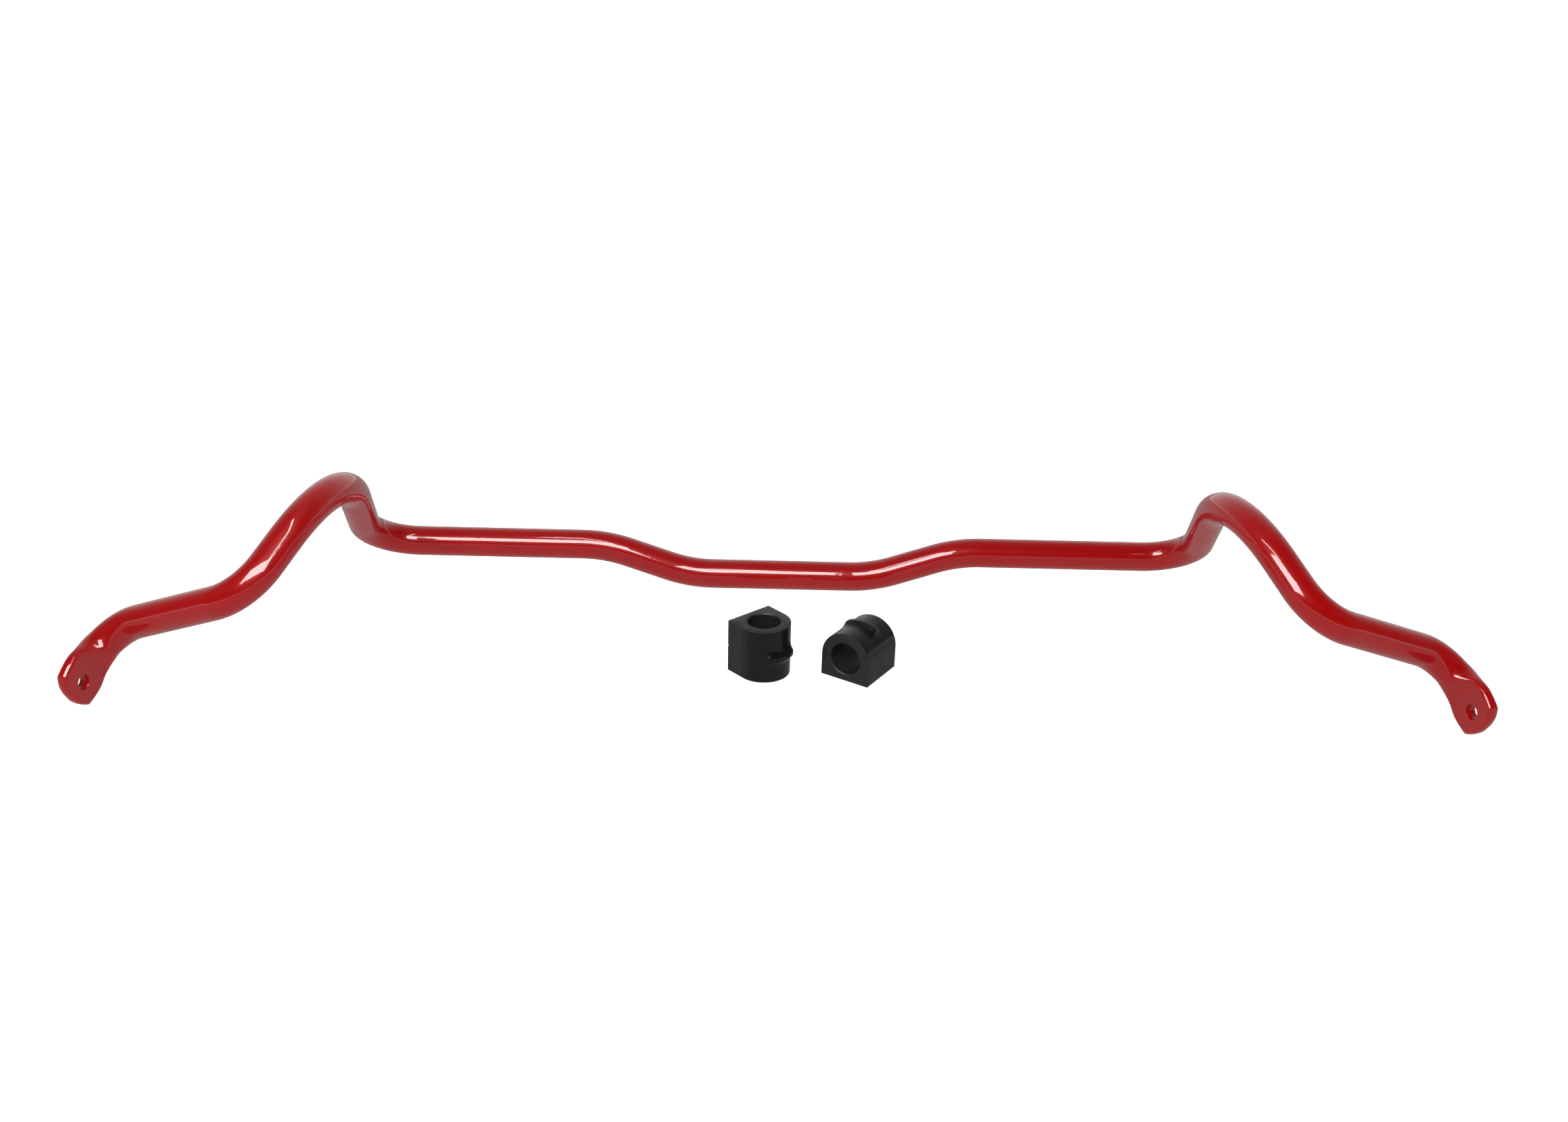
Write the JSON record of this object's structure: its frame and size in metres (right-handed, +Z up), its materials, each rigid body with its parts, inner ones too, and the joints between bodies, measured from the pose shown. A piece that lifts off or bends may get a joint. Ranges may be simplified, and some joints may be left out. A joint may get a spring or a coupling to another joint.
{
  "type": "front sway bar",
  "caption": "Front sway bar: round red coated steel bar with arched arms, forged link eyes and loose black D-shaped mounting bushes.",
  "frame": {"origin": "on the surface that the set lies on, under the middle of its bounding box; the bush axis runs along X at y = 0.12564 m, z = 0.0405 m", "axes": "+X along the bar towards its right end, +Y back towards the mounting sections, +Z up"},
  "size_m": [1.1108, 0.2782, 0.1577],
  "materials": {
    "red_powder_coat": "bright red gloss powder coat with a light orange peel over forged spring steel",
    "black_polyurethane": "moulded black polyurethane, satin on the ends and sides, glossier on the crown, knurled bore"
  },
  "bodies": {
    "bar_right": {"bar_right_half": "red_powder_coat"},
    "bar_left": {"bar_left_half": "red_powder_coat"},
    "standing_bush": {"left_bush": "black_polyurethane"},
    "lying_bush": {"right_bush": "black_polyurethane"}
  },
  "joints": [
    {"name": "bar_twist", "type": "hinge", "parent": "bar_right", "child": "bar_left", "pos_m": [0, 0.12564, 0.0405], "axis": [-1, 0, 0], "range_deg": [-12, 12], "stiffness_Nm_per_rad": 5900},
    {"name": "left_bush_lift", "type": "slide", "parent": "bar_right", "child": "standing_bush", "axis": [0, 0, 1], "range_m": [0, 0.2]},
    {"name": "right_bush_lift", "type": "slide", "parent": "bar_right", "child": "lying_bush", "axis": [0, 0, 1], "range_m": [0, 0.2]}
  ]
}
